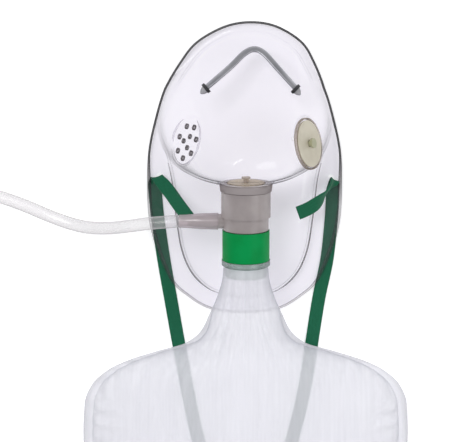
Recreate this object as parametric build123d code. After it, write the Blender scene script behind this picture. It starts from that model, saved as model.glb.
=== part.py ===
from build123d import *
import math
import os

# High-concentration oxygen mask with a reservoir bag, lying face down on a table.
# Millimetres. X runs across the mask, +Y towards the nose bridge, +Z up from the table.
# The origin is on the table, on the plane of symmetry, half way along the whole object.

# ---- driving dimensions ----
TOP_Y = 168.4  # nose bridge end of the rim
CHIN_Y = 32.1  # chin end of the rim
BAG_END_Y = -168.4  # far end of the reservoir bag
AXIS_Z = 25.0  # height of the connector's axis, and of the bag's middle plane
WALL = 1.3  # wall of the mask
RIM_H = 3.2  # height of the rolled rim
RIM_W = 2.2  # width of the rolled rim
FLANGE_Z = 2.0  # underside of the soft flange behind the rim
BOWL_H = 11.5  # height of the chin bowl
DOME_H = 47.5  # height of the nose dome

PORT_Y = 94.8  # outer face of the flat boss that holds the connector
PORT_T = 2.2  # its thickness
PORT_R = 13.2
PORT_BOSS = 8.2  # length of the boss, back to inside the dome wall
PORT_HOLE_R = 9.85
PORT_BEHIND = 8.0  # depth cleared for the connector's snap ring

VALVE_X, VALVE_Y, VALVE_Z = 27.2, 116.5, 29.5  # centre of the exhalation valve's disc
VENT_X, VENT_Y, VENT_Z = -26.2, 117.5, 29.5  # centre of the vent's disc
SIDE_TILT = 60.0  # how far the two discs lean from level, in degrees
VALVE_TURN, VENT_TURN = 13.0, 20.0  # how far they turn towards the nose bridge
VALVE_R, VENT_R = 11.6, 11.2
DISC_T = 2.2
VALVE_HOLES = (6.4, 6, 2.2, 0.0)  # ring radius, count, hole radius, start angle
VENT_HOLES = [(7.4, 7, 1.2, 12), (2.9, 3, 1.1, 40)]

BODY_R = 11.1  # barrel of the swivel connector
BODY_Y0, BODY_Y1 = 83.2, 94.6
BAND_R = 10.2  # narrower band below the barrel
BAND_Y0 = 77.4
SPIGOT_R = 8.0  # end that turns inside the bag's neck sleeve
SPIGOT_Y0 = 63.0
BORE_R = 6.6
NECK_R = 9.8  # groove that turns in the mask's port
SNAP_R = 11.4
SNAP_Y0, SNAP_Y1 = 97.1, 98.4
SEAT_R = 8.8
SEAT_Y0, SEAT_Y1 = 94.9, 98.0
SEAT_WALL = 1.4

NIPPLE_Y = 81.0
NIPPLE_END = -26.0
NIPPLE_BORE_R = 1.3
NIPPLE_SHAPE = [(-6, 3.3), (-13, 3.3), (-13, 2.9), (-15, 3.1), (NIPPLE_END, 2.2)]  # distance along X, radius
CUFF_START, CUFF_END = -12.4, -30.0
CUFF_SHAPE = [(CUFF_START, 3.75), (-20, 3.55), (-27, 2.95), (CUFF_END, 2.9)]
CUFF_BORE_R = 2.0
TUBE_D = 5.8

SLEEVE_R = 9.6
SLEEVE_LIP_R = 9.3  # the part that the bag's neck is pulled over
SLEEVE_BORE_R = 8.05
SLEEVE_Y0, SLEEVE_Y1 = 56.0, 77.1
BEAD_R, BEAD_Y0, BEAD_Y1 = 10.9, 61.2, 63.4
COLLAR_R, COLLAR_Y0, COLLAR_Y1 = 10.6, 63.6, 77.0
COLLAR_GAP = 0.03

FILM = 0.35
BAG_HALF_W = 75.0
BAG_HALF_T = 24.8

STRAP_W = 6.2
STRAP_T = 0.8

CLIP_W, CLIP_T = 2.6, 0.8
CLIP_GAP = 0.2  # between the strip and the wall under it
CLIP_PATH = [(-17.2, 140.0), (-6.7, 148.7), (-0.6, 154.2), (3.6, 156.4), (7.8, 154.4), (13.8, 147.9),
             (21.6, 139.6)]

LEAF_GAP = 0.1  # between each leaf and what it lies on, and again under its stop
LEAF_TRAVEL = 1.2  # how far the exhalation leaf lifts off its disc
VALVE_LEAF_R, VALVE_LEAF_T = 10.3, 0.7
STUD_R, STUD_HEAD_R, STUD_HEAD_T = 1.3, 2.2, 0.8
INLET_TRAVEL = 1.6  # how far the inhalation leaf lifts off its seat
INLET_LEAF_R, INLET_LEAF_T = 8.2, 0.6
INLET_LEAF_Y = SEAT_Y1 + LEAF_GAP

# Reservoir bag: distance along Y, half width, half thickness.
BAG_SECTIONS = [(60.9, 10.0, 10.0), (55, 10.6, 10.4), (46, 13.0, 11.0), (38.5, 16.3, 11.5), (30, 20.5, 12.5),
                (24.3, 27.5, 13.6), (20.6, 40, 14.8), (16, 54, 16), (11.5, 63, 17.0), (4.5, 70.5, 18.2),
                (-4, 74, 19.6), (-20, BAG_HALF_W, 21.2), (-45, BAG_HALF_W, 22.8), (-80, BAG_HALF_W, 24.4),
                (-105, BAG_HALF_W, BAG_HALF_T), (-135, 74.6, 21.5), (-155, 73.8, 14), (-164, 72.5, 7),
                (BAG_END_Y, 71.5, 1.4)]

EAR_X, EAR_Y = 41.0, 97.0  # slots in the flange that hold the strap
SLOT_W, SLOT_L, SLOT_TURN = 2.2, 7.2, 45.0
STRAP_TURN_Y = -46.5  # the strap's loop ends here, under the bag
STRAP_PATH = [(-40.8, 100.2), (-40.9, 74.0), (-32.4, 21.0), (-26.5, -12.0), (-26.5, STRAP_TURN_Y),
              (26.5, STRAP_TURN_Y), (26.5, -12.0), (31.6, 21.0), (40.0, 74.0), (39.9, 100.2)]
STRAP_RADII = [30.0, 60.0, 60.0, 26.0, 26.0, 60.0, 60.0, 30.0]
STRAP_LOW, STRAP_HIGH = 0.1, RIM_H + 0.1  # under the bag, and over the rim
STRAP_DROP_Y0, STRAP_DROP_Y1 = 30.0, 47.0  # it comes down from the rim between these
TAILS = [((-39.6, 96.6, 3.95), (-24.6, 82.0, 16.4)), ((39.0, 96.2, 3.95), (24.2, 81.4, 15.8))]

# Oxygen tube from the cuff down to the table and along it to the coil.
TUBE_ROUTE = [(-30.4, NIPPLE_Y, AXIS_Z), (-42.0, 80.1, 24.4), (-53.5, 77.5, 19.6), (-64.0, 75.0, 12.6),
              (-76.0, 74.3, 6.0), (-89.5, 78.2, 3.1), (-103.5, 84.6, 2.95), (-119.0, 89.8, 2.95),
              (-135.0, 93.2, 2.95), (-151.0, 94.0, 2.95)]
COIL_X, COIL_Y = -166.0, 51.0
COIL_MEAN_R = 31.0
COIL_PITCH = 5.95  # distance from one turn to the next
COIL_W, COIL_H = 5 * COIL_PITCH, 2 * COIL_PITCH
TAIL_X = COIL_X - COIL_MEAN_R - 2 * COIL_PITCH
TAIL_Y0, TAIL_Y1, TAIL_Z = 13.0, 36.0, 6.7
FUNNEL_Y0, FUNNEL_Y1 = -18.0, 24.0
FUNNEL_R, FUNNEL_BORE_R, FUNNEL_BORE_L = 6.5, 3.2, 18.0
FUNNEL_STEM_R = 4.6
FUNNEL_RIBS = 6


FROM_BASE = (Align.CENTER, Align.CENTER, Align.MIN)


def across(direction, x, y, z):
    """Plane at a point whose normal points along direction, with its own X level."""
    return Plane(origin=(x, y, z), x_dir=(-direction[1], direction[0], 0), z_dir=direction)


def along_y(r, y0, y1, x=0.0, z=AXIS_Z):
    """Round bar along Y from y0 to y1."""
    return Plane(origin=(x, y0, z), x_dir=(1, 0, 0), z_dir=(0, 1, 0)) * Cylinder(r, y1 - y0, align=FROM_BASE)


def along_minus_x(r, length):
    """Round bar from the connector's axis towards the oxygen tube."""
    return Pos(0, NIPPLE_Y, AXIS_Z) * Rot(0, -90, 0) * Cylinder(r, length, align=FROM_BASE)


def turned_about_x(shape):
    """Solid turned from (distance along X, radius) points, on the nipple's axis."""
    profile = Polyline((shape[0][0], 0), *shape, (shape[-1][0], 0), close=True)
    return Pos(0, NIPPLE_Y, AXIS_Z) * revolve(make_face(profile), Axis.X)


def side_normal(sign, turn):
    """Outward normal of a disc on the mask's left (-1) or right (+1) side wall."""
    tilt = math.radians(SIDE_TILT)
    turn = math.radians(turn)
    return (sign * math.sin(tilt) * math.cos(turn), math.sin(tilt) * math.sin(turn), math.cos(tilt))


VALVE_N = side_normal(1, VALVE_TURN)
VENT_N = side_normal(-1, VENT_TURN)

# Half the mask's outline, from the nose bridge to the chin.
RIM_HALF = [(11.8, 166.4), (23.7, 159.5), (30.4, 150.5), (36.7, 138.0), (41.0, 124.5), (44.2, 110.0),
            (45.0, 95.0), (44.6, 78.0), (41.2, 63.5), (34.6, 48.0), (27.0, 40.4), (16.0, 34.0)]
# Half the line where the wall leaves the flange.
FOOT_HALF = [(10.4, 163.0), (21.0, 156.5), (27.6, 147.5), (33.4, 136.0), (36.8, 124.0), (36.4, 110.0),
             (33.6, 96.0), (31.6, 78.0), (29.2, 63.0), (24.6, 52.0), (17.0, 44.4), (8.0, 41.0)]
FOOT_TOP_Y, FOOT_CHIN_Y = 164.6, 40.2
# Nose dome: height, half width, nose bridge end and front wall of each level slice.
DOME_LEVELS = [(1.0, 40.5, 164.0, 95.0), (12.0, 36.6, 156.0, 95.4), (20.0, 32.4, 146.6, 96.0),
               (30.0, 26.6, 134.6, 97.4), (38.0, 21.0, 125.4, 99.4), (44.0, 13.6, 118.0, 102.4),
               (DOME_H, 5.0, 112.5, 106.0)]
# Half a slice: share of the way from the nose bridge end to the front, and share of the half width.
DOME_SLICE = [(0.05, 0.33), (0.17, 0.62), (0.33, 0.86), (0.52, 1.0), (0.72, 0.98), (0.88, 0.80), (0.97, 0.45)]
# Chin bowl: height, and how far the slice is drawn in from the foot line.
BOWL_LEVELS = [(0.6, 0.0), (6.0, 1.4), (9.8, 4.0), (BOWL_H, 8.0)]
LEAN, LEAN_FROM_Y, LEAN_SHIFT = 3.0, 138.0, -0.5  # the nose bridge end leans a little to the right


def lean(y):
    """How far the outline is moved to the right at y."""
    return LEAN * max(0.0, (y - LEAN_FROM_Y) / (TOP_Y - LEAN_FROM_Y)) + LEAN_SHIFT


def closed_outline(half, top, chin, z, inset=0.0):
    """Face inside a smooth closed outline, drawn in from the given half by inset."""
    middle = (top + chin) / 2
    high = (top - chin) / 2
    wide = max(x for x, y in half)

    def drawn_in(x, y):
        return (x * (wide - inset) / wide + lean(y), middle + (y - middle) * (high - inset) / high, z)

    right = [drawn_in(x, y) for x, y in half]
    left = [drawn_in(-x, y) for x, y in reversed(half)]
    return make_face(Spline(drawn_in(0, top), *right, drawn_in(0, chin), *left, periodic=True))


def dome_section(z, half_w, top, front):
    """One level slice of the nose dome: pointed at the nose bridge, blunt at the front."""
    half = [(half_w * w, top - (top - front) * f) for f, w in DOME_SLICE]
    return closed_outline(half, top, front, z)


def dome(wall):
    """The nose dome as a filled body, its surface drawn in by wall."""
    side = wall * 1.2
    sections = [
        dome_section(z - (wall if z > 1 else 2 * wall), w - side, t - side, f + side)
        for z, w, t, f in DOME_LEVELS
    ]
    return loft(sections)


def bowl(wall):
    """The low chin bowl as a filled body, its surface drawn in by wall."""
    sections = [
        closed_outline(FOOT_HALF, FOOT_TOP_Y, FOOT_CHIN_Y, z - (wall if z > 1 else 2 * wall), inset + wall)
        for z, inset in BOWL_LEVELS
    ]
    return loft(sections)


def disc(normal, x, y, z, r, low, high):
    """Round disc on a side wall, from low to high along the wall's normal."""
    return across(normal, x, y, z).offset(low) * Cylinder(r, high - low, align=FROM_BASE)


def ring_of_holes(normal, x, y, z, holes):
    """Round cutters through a side disc, evenly spaced on a circle."""
    radius, count, hole_r, start = holes
    cutter = Cylinder(hole_r, 20, align=FROM_BASE)
    return across(normal, x, y, z).offset(-12) * PolarLocations(radius, count, start_angle=start) * cutter


def mask_shell():
    outline = closed_outline(RIM_HALF, TOP_Y, CHIN_Y, 0)
    inner = closed_outline(RIM_HALF, TOP_Y, CHIN_Y, 0, RIM_W)
    rim = extrude(outline, RIM_H) - extrude(inner, RIM_H)
    flange = Pos(0, 0, FLANGE_Z) * extrude(outline, RIM_H - FLANGE_Z)
    body = rim + flange + bowl(0) + dome(0)
    body += along_y(PORT_R, PORT_Y, PORT_Y + PORT_BOSS)
    body -= bowl(WALL) + dome(WALL)
    body += along_y(PORT_R, PORT_Y, PORT_Y + PORT_T)
    body += disc(VALVE_N, VALVE_X, VALVE_Y, VALVE_Z, VALVE_R, -DISC_T, 0)
    body += disc(VENT_N, VENT_X, VENT_Y, VENT_Z, VENT_R, -DISC_T, 0)
    body -= along_y(PORT_HOLE_R, PORT_Y - PORT_BEHIND, PORT_Y + PORT_T + PORT_BEHIND)
    body -= along_y(BODY_R + 1, PORT_Y - 12, PORT_Y)
    body -= along_y(SNAP_R + 0.6, PORT_Y + PORT_T, PORT_Y + PORT_T + PORT_BEHIND)
    body -= ring_of_holes(VALVE_N, VALVE_X, VALVE_Y, VALVE_Z, VALVE_HOLES)
    body -= disc(VALVE_N, VALVE_X, VALVE_Y, VALVE_Z, STUD_R, -12, 1)
    for holes in VENT_HOLES:
        body -= ring_of_holes(VENT_N, VENT_X, VENT_Y, VENT_Z, holes)
    for sign in (-1, 1):
        slot = Box(SLOT_W, SLOT_L, 4 * RIM_H)
        body -= Pos(ear_x(sign), EAR_Y, FLANGE_Z) * Rot(0, 0, sign * SLOT_TURN) * slot
    return body


def nose_clip():
    """Soft metal strip bent to a V that hugs the bridge of the nose."""
    strip = extrude(trace(Polyline(*CLIP_PATH), line_width=CLIP_W), 2 * DOME_H)
    outside = dome(-CLIP_GAP - CLIP_T) + bowl(-CLIP_GAP - CLIP_T)
    inside = dome(-CLIP_GAP) + bowl(-CLIP_GAP)
    return strip & (outside - inside)


def exhalation_valve_leaf():
    leaf = disc(VALVE_N, VALVE_X, VALVE_Y, VALVE_Z, VALVE_LEAF_R, LEAF_GAP, LEAF_GAP + VALVE_LEAF_T)
    return leaf - disc(VALVE_N, VALVE_X, VALVE_Y, VALVE_Z, STUD_R + 0.15, -1, 2)


def exhalation_valve_stud():
    """Post pressed into the disc, with a head that keeps the leaf on."""
    place = (VALVE_N, VALVE_X, VALVE_Y, VALVE_Z)
    stop = 2 * LEAF_GAP + VALVE_LEAF_T + LEAF_TRAVEL + 0.1
    post = disc(*place, STUD_R, -DISC_T, stop)
    return post + disc(*place, STUD_HEAD_R, stop, stop + STUD_HEAD_T)


def nipple_body():
    """Barbed nipple that points to -X."""
    return turned_about_x(NIPPLE_SHAPE)


def swivel_connector():
    """Tee that turns in the mask's port: bag below, oxygen nipple at the side, valve seat inside."""
    body = along_y(BODY_R, BODY_Y0, BODY_Y1) + along_y(BAND_R, BAND_Y0, BODY_Y0)
    body += along_y(SPIGOT_R, SPIGOT_Y0, BAND_Y0) + along_y(NECK_R, BODY_Y1, SNAP_Y0)
    body += along_y(SNAP_R, SNAP_Y0, SNAP_Y1) + nipple_body()
    body -= along_y(BORE_R, SPIGOT_Y0 - 1, SEAT_Y0) + along_y(SEAT_R, SEAT_Y0, SNAP_Y1 + 1)
    return body - along_minus_x(NIPPLE_BORE_R, -NIPPLE_END + 1)


def inhalation_valve_seat():
    """Ring with spokes pressed into the connector, and the post that holds the leaf."""
    seat = along_y(SEAT_R, SEAT_Y0, SEAT_Y1) - along_y(SEAT_R - SEAT_WALL, SEAT_Y0 - 1, SEAT_Y1 + 1)
    for i in range(2):
        seat += Pos(0, SEAT_Y1 - 1, AXIS_Z) * Rot(0, 45 + 90 * i, 0) * Box(2 * SEAT_R - 2, 2.0, 1.2)
    seat += along_y(2.2, SEAT_Y1 - 2.2, SEAT_Y1)
    stop = INLET_LEAF_Y + INLET_LEAF_T + INLET_TRAVEL + LEAF_GAP
    return seat + along_y(1.1, SEAT_Y1 - 1, stop) + along_y(2.0, stop, stop + 0.7)


def inhalation_valve_leaf():
    leaf = along_y(INLET_LEAF_R, INLET_LEAF_Y, INLET_LEAF_Y + INLET_LEAF_T)
    return leaf - along_y(1.25, INLET_LEAF_Y - 1, INLET_LEAF_Y + 2)


def tube_cuff():
    """Flared end of the oxygen tube, pushed over the nipple."""
    return turned_about_x(CUFF_SHAPE) - nipple_body() - along_minus_x(CUFF_BORE_R, -CUFF_END + 1)


def bag_neck_sleeve():
    sleeve = along_y(SLEEVE_R, BEAD_Y0, SLEEVE_Y1) + along_y(BEAD_R, BEAD_Y0, BEAD_Y1)
    sleeve += along_y(SLEEVE_LIP_R, SLEEVE_Y0, BEAD_Y0)
    return sleeve - along_y(SLEEVE_BORE_R, SLEEVE_Y0 - 1, SLEEVE_Y1 + 1)


def green_collar():
    band = along_y(COLLAR_R, COLLAR_Y0, COLLAR_Y1)
    return band - along_y(SLEEVE_R + COLLAR_GAP, COLLAR_Y0 - 1, COLLAR_Y1 + 1)


def bag_half(inset):
    """Upper half of the inflated bag as a filled body.

    With an inset it is the hollow: drawn in, and run out past the neck and past the flat side.
    """
    sections = []
    for y, a, b in BAG_SECTIONS:
        if inset and y == BAG_SECTIONS[0][0]:
            y += 1
        if inset and y == BAG_END_Y:
            y += 3 * inset
        a -= inset
        arch = EllipticalCenterArc((0, 0), a, b - inset, 0, arc_size=180)
        base = Polyline((-a, 0), (-a, -inset), (a, -inset), (a, 0)) if inset else Line((-a, 0), (a, 0))
        place = Plane(origin=(0, y, AXIS_Z), x_dir=(-1, 0, 0), z_dir=(0, 1, 0))
        sections.append(place * make_face(arch + base))
    return loft(sections)


def bag_front_film():
    return bag_half(0) - bag_half(FILM)


def bag_back_film():
    """The other half, welded to the front film along the sides."""
    return mirror(bag_front_film(), Plane.XY.offset(AXIS_Z))


def ear_x(sign):
    return sign * EAR_X - 0.5


def elastic_strap():
    """One elastic band: tails and anchors at the ears, over the rim, and a loop under the bag."""
    plan = extrude(trace(FilletPolyline(*STRAP_PATH, radius=STRAP_RADII), line_width=STRAP_W), 60)
    fall = [(EAR_Y + 8, STRAP_HIGH), (STRAP_DROP_Y1, STRAP_HIGH), (STRAP_DROP_Y0, STRAP_LOW),
            (STRAP_TURN_Y - 20, STRAP_LOW)]
    top = [(y, z + STRAP_T) for y, z in reversed(fall)]
    profile = make_face(Polyline(*fall, *top, close=True))
    side = Plane(origin=(-100, 0, 0), x_dir=(0, 1, 0), z_dir=(1, 0, 0)) * profile
    strap = plan & extrude(side, 200)
    for sign, (start, end) in zip((-1, 1), TAILS):
        strap += Pos(ear_x(sign), EAR_Y, 2.5) * Rot(0, 0, sign * SLOT_TURN) * Box(1.0, STRAP_W, 3.0)
        strap += Pos(ear_x(sign) - sign * 1.4, EAR_Y, 1.4) * Box(3.8, STRAP_W, STRAP_T)
        way = Vector(*end) - Vector(*start)
        along = way.normalized()
        up = (Vector(0, 0, 1) - along * along.Z).normalized()
        strap += Plane(origin=start, x_dir=along, z_dir=up) * Box(
            way.length, STRAP_W, STRAP_T, align=(Align.MIN, Align.CENTER, Align.CENTER)
        )
    return strap


def route_radii(route):
    """Each corner's largest arc that its two runs allow."""
    points = [Vector(*p) for p in route]
    radii = []
    for a, b, c in zip(points, points[1:], points[2:]):
        turn = math.radians((b - a).get_angle(c - b))
        radii.append(0.45 * min((b - a).length, (c - b).length) / math.tan(turn / 2))
    return radii


def oxygen_tube():
    """Tube from the cuff to the coil, and its short end between the coil and the supply connector."""
    radii = route_radii(TUBE_ROUTE)
    path = FilletPolyline(*TUBE_ROUTE, radius=radii)
    tube = sweep(Plane(origin=path @ 0, z_dir=path % 0) * Circle(TUBE_D / 2), path=path)
    print("tube arcs", [round(r, 1) for r in radii], "length", round(path.length, 1), "volume ratio",
          round(tube.volume / (math.pi * (TUBE_D / 2) ** 2 * path.length), 4))
    end = along_y(TUBE_D / 2, TAIL_Y0, TAIL_Y1, TAIL_X, TAIL_Z)
    return Compound(children=[tube, end])


def oxygen_tube_coil():
    outer = Cylinder(COIL_MEAN_R + COIL_W / 2, COIL_H) - Cylinder(COIL_MEAN_R - COIL_W / 2, COIL_H)
    ring = fillet(outer.edges().filter_by(GeomType.CIRCLE), 5)
    return Pos(COIL_X, COIL_Y, COIL_H / 2 + 0.05) * ring


def supply_connector():
    """Soft funnel that pushes on to a barbed oxygen outlet."""
    profile = Polyline((0, FUNNEL_Y0), (FUNNEL_R, FUNNEL_Y0), (FUNNEL_R, -4), (FUNNEL_STEM_R, 10),
                       (FUNNEL_STEM_R, FUNNEL_Y1), (0, FUNNEL_Y1), close=True)
    funnel = Pos(TAIL_X, 0, TAIL_Z) * revolve(make_face(profile), Axis.Y)
    for i in range(FUNNEL_RIBS):
        turn = Rot(0, 360 / FUNNEL_RIBS * i, 0)
        rib = Pos(0, 15, 0) * turn * Pos(FUNNEL_STEM_R + 0.2, 0, 0) * Box(0.9, 13, 1.0)
        funnel += Pos(TAIL_X, 0, TAIL_Z) * rib
    funnel -= along_y(FUNNEL_BORE_R, FUNNEL_Y0 - 1, FUNNEL_Y0 + FUNNEL_BORE_L, TAIL_X, TAIL_Z)
    funnel -= along_y(1.6, FUNNEL_Y0, FUNNEL_Y1, TAIL_X, TAIL_Z)
    return funnel - along_y(TUBE_D / 2, TAIL_Y0, FUNNEL_Y1 + 1, TAIL_X, TAIL_Z)


def export(shape, name):
    export_step(shape, f"parts/{name}.step")
    box = shape.bounding_box()
    print(name, round(shape.volume, 1), [round(v, 1) for v in (*box.min, *box.max)])


PARTS = [mask_shell, nose_clip, exhalation_valve_leaf, exhalation_valve_stud, swivel_connector,
         inhalation_valve_seat, inhalation_valve_leaf, tube_cuff, bag_neck_sleeve, green_collar,
         bag_front_film, bag_back_film, elastic_strap, oxygen_tube, oxygen_tube_coil, supply_connector]

os.makedirs("parts", exist_ok=True)
for part in PARTS:
    export(part(), part.__name__)
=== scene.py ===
import bpy
import math
import numpy as np
from mathutils import Matrix, Vector


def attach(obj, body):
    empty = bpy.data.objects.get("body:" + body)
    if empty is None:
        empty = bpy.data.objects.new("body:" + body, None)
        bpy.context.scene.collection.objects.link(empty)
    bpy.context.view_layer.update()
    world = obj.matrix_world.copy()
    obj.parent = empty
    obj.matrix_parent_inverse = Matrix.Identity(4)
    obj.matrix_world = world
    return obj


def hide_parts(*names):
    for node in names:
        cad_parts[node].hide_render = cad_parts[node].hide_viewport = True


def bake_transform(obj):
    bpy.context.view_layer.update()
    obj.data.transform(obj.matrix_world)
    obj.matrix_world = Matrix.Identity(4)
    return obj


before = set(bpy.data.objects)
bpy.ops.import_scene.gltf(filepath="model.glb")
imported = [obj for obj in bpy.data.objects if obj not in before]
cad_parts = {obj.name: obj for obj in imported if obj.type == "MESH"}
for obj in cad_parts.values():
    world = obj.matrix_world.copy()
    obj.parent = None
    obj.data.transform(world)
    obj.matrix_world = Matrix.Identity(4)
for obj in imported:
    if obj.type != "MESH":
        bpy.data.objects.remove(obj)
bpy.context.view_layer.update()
MM = 0.001
scene = bpy.context.scene
collection = scene.collection


# ---------------------------------------------------------------- camera, light and floor

def add_camera():
    """Looks down on the table from the nose side, a little off square."""
    tilt = math.radians(11.5)
    distance = 0.6
    target = Vector((-0.004, 0.076, 0.0))
    back = Vector((0, math.sin(tilt), math.cos(tilt)))
    up = Vector((0, math.cos(tilt), -math.sin(tilt)))
    camera = bpy.data.objects.new("camera", bpy.data.cameras.new("camera"))
    collection.objects.link(camera)
    camera.data.sensor_width = 36.0
    camera.data.lens = 97.6
    camera.data.clip_start = 0.01
    camera.matrix_world = Matrix.Translation(target + back * distance) @ Matrix((
        (1, up.x, back.x, 0), (0, up.y, back.y, 0), (0, up.z, back.z, 0), (0, 0, 0, 1)))
    scene.camera = camera


def add_area(name, place, aim, size, power):
    light = bpy.data.objects.new(name, bpy.data.lights.new(name, "AREA"))
    light.data.shape = "RECTANGLE"
    light.data.size, light.data.size_y = size
    light.data.energy = power
    light.location = place
    light.rotation_mode = "QUATERNION"
    light.rotation_quaternion = (Vector(aim) - Vector(place)).to_track_quat("-Z", "Y")
    collection.objects.link(light)


def add_lights():
    scene.view_settings.view_transform = "Standard"
    scene.cycles.transparent_max_bounces = 32
    world = bpy.data.worlds.new("studio")
    world.use_nodes = True
    world.node_tree.nodes["Background"].inputs["Color"].default_value = (0.97, 0.98, 1.0, 1)
    world.node_tree.nodes["Background"].inputs["Strength"].default_value = 0.42
    scene.world = world
    add_area("key", (-0.30, 0.42, 0.80), (0, 0.05, 0), (0.45, 0.30), 3.0)
    add_area("fill", (0.55, 0.10, 0.65), (0, 0.0, 0), (0.5, 0.5), 1.5)


def add_floor():
    size = 6.0
    mesh = bpy.data.meshes.new("floor")
    corners = [(-size, -size, 0), (size, -size, 0), (size, size, 0), (-size, size, 0)]
    mesh.from_pydata(corners, [], [(0, 1, 2, 3)])
    floor = bpy.data.objects.new("floor", mesh)
    collection.objects.link(floor)
    floor.location.z = -0.0002
    material = bpy.data.materials.new("floor")
    material.use_nodes = True
    shader = material.node_tree.nodes["Principled BSDF"]
    shader.inputs["Base Color"].default_value = (0.9, 0.9, 0.9, 1)
    shader.inputs["Roughness"].default_value = 0.6
    shader.inputs["Specular IOR Level"].default_value = 0.1
    shader.inputs["Emission Color"].default_value = (1, 1, 1, 1)
    shader.inputs["Emission Strength"].default_value = 0.42
    mesh.materials.append(material)


# ---------------------------------------------------------------- oxygen tube and its coil

TUBE_D = 5.8 * MM
TUBE_EXIT = (-0.0304, 0.081, 0.025)
TUBE_ROUTE = [
    TUBE_EXIT, (-0.0420, 0.0801, 0.0244), (-0.0535, 0.0775, 0.0196), (-0.0640, 0.0750, 0.0126),
    (-0.0760, 0.0743, 0.0060), (-0.0895, 0.0782, 0.0031), (-0.1035, 0.0846, 0.00295),
    (-0.1190, 0.0898, 0.00295), (-0.1350, 0.0932, 0.00295), (-0.1510, 0.0940, 0.00295),
]
COIL_CENTRE = Vector((-0.166, 0.051, 0.0))
COIL_MEAN_R = 31.0 * MM
COIL_PITCH = 5.95 * MM
COIL_COLUMNS = 5
FLOOR_Z = 2.95 * MM
TAIL_Y, TAIL_Z = 13.0 * MM, 6.7 * MM


def smooth(t):
    t = min(max(t, 0.0), 1.0)
    return t * t * (3 - 2 * t)


def coil_points():
    """Two layers of turns: from the outer turn inwards on the table, and back out on top."""
    rings = [COIL_MEAN_R + COIL_PITCH * ((COIL_COLUMNS - 1) / 2 - c) for c in range(COIL_COLUMNS)]
    turns = [(r, FLOOR_Z) for r in rings] + [(r, FLOOR_Z + COIL_PITCH) for r in reversed(rings)]
    turns.append(turns[-1])
    steps = 18
    points = []
    for k in range(len(turns) - 1):
        (r0, z0), (r1, z1) = turns[k], turns[k + 1]
        for i in range(steps):
            t = i / steps
            mix = smooth((t - 0.72) / 0.28)
            angle = math.pi / 2 + 2 * math.pi * t
            r = r0 + (r1 - r0) * mix
            z = z0 + (z1 - z0) * mix
            points.append(COIL_CENTRE + Vector((r * math.cos(angle), r * math.sin(angle), z)))
    return points


def tail_points():
    """The last quarter turn, and the straight end that goes into the supply connector."""
    r = COIL_MEAN_R + COIL_PITCH * (COIL_COLUMNS - 1) / 2
    z = FLOOR_Z + COIL_PITCH
    points = []
    for i in range(5):
        angle = math.pi / 2 * (1 + i / 5)
        points.append(COIL_CENTRE + Vector((r * math.cos(angle), r * math.sin(angle), z)))
    x = COIL_CENTRE.x - r
    points += [Vector((x, COIL_CENTRE.y, z)), Vector((x, 0.040, 0.0081)), Vector((x, 0.028, 0.0068)),
               Vector((x, 0.020, TAIL_Z)), Vector((x, TAIL_Y, TAIL_Z))]
    return points


def route_line(name, points):
    """Points along the smooth NURBS line through a route."""
    curve = bpy.data.curves.new(name, "CURVE")
    curve.dimensions = "3D"
    spline = curve.splines.new("NURBS")
    spline.points.add(len(points) - 1)
    for point, place in zip(spline.points, points):
        point.co = (*place, 1)
    spline.order_u = 3
    spline.use_endpoint_u = True
    spline.resolution_u = 6
    holder = bpy.data.objects.new(name, curve)
    mesh = bpy.data.meshes.new_from_object(holder)
    line = [v.co.copy() for v in mesh.vertices]
    bpy.data.objects.remove(holder)
    return line


def swept(name, line, radius, sides=16, closed=False):
    """A round tube along a line of points; radius may be a number or one for each point."""
    count = len(line)
    radii = radius if isinstance(radius, list) else [radius] * count
    vertices = []
    side = Vector((0, 0, 1))
    for i, place in enumerate(line):
        before = line[i - 1] if closed or i else line[0]
        after = line[(i + 1) % count] if closed or i < count - 1 else line[-1]
        along = (after - before).normalized()
        side = (side - along * side.dot(along)).normalized()
        across = along.cross(side)
        for k in range(sides):
            turn = 2 * math.pi * k / sides
            vertices.append(place + (side * math.cos(turn) + across * math.sin(turn)) * radii[i])
    faces = []
    for i in range(count if closed else count - 1):
        a, b = i * sides, (i + 1) % count * sides
        faces += [(a + k, a + (k + 1) % sides, b + (k + 1) % sides, b + k) for k in range(sides)]
    if not closed:
        faces += [tuple(reversed(range(sides))), tuple(range((count - 1) * sides, count * sides))]
    return make_object(name, vertices, faces)


def oxygen_line():
    points = [Vector(p) for p in TUBE_ROUTE] + coil_points()[1:] + tail_points()
    line = route_line("oxygen_line_route", points)
    tube = swept("oxygen_line", line, TUBE_D / 2)
    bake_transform(tube)
    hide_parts("oxygen_tube", "oxygen_tube_coil")
    return tube


# ---------------------------------------------------------------- shapes shared by the mask's pieces

TOP_Y, CHIN_Y = 168.4, 32.1
RIM_H = 3.2
BEAD_R = 1.1
DOME_H, BOWL_H = 47.5, 11.5
AXIS_Z = 25.0
PORT_Y = 94.8
PORT_HOLE_R = 12.6
# Right halves of the rim's outline and of the line where the mask rises out of its flange.
RIM_HALF = [(11.8, 166.4), (23.7, 159.5), (30.4, 150.5), (36.7, 138.0), (41.0, 124.5), (44.2, 110.0),
            (45.0, 95.0), (44.6, 78.0), (41.2, 63.5), (34.6, 48.0), (27.0, 40.4), (16.0, 34.0)]
FOOT_HALF = [(10.4, 163.0), (21.0, 156.5), (27.6, 147.5), (33.4, 136.0), (36.8, 124.0), (36.4, 110.0),
             (33.6, 96.0), (31.6, 78.0), (29.2, 63.0), (24.6, 52.0), (17.0, 44.4), (8.0, 41.0)]
FOOT_TOP_Y, FOOT_CHIN_Y = 164.6, 40.2
# Half of the dome's level section: share of its half width, and of the way from its nose end.
SECTION_HALF = [(0.33, 0.05), (0.62, 0.17), (0.86, 0.33), (1.0, 0.52), (0.98, 0.72), (0.80, 0.88),
                (0.45, 0.97)]
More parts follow.
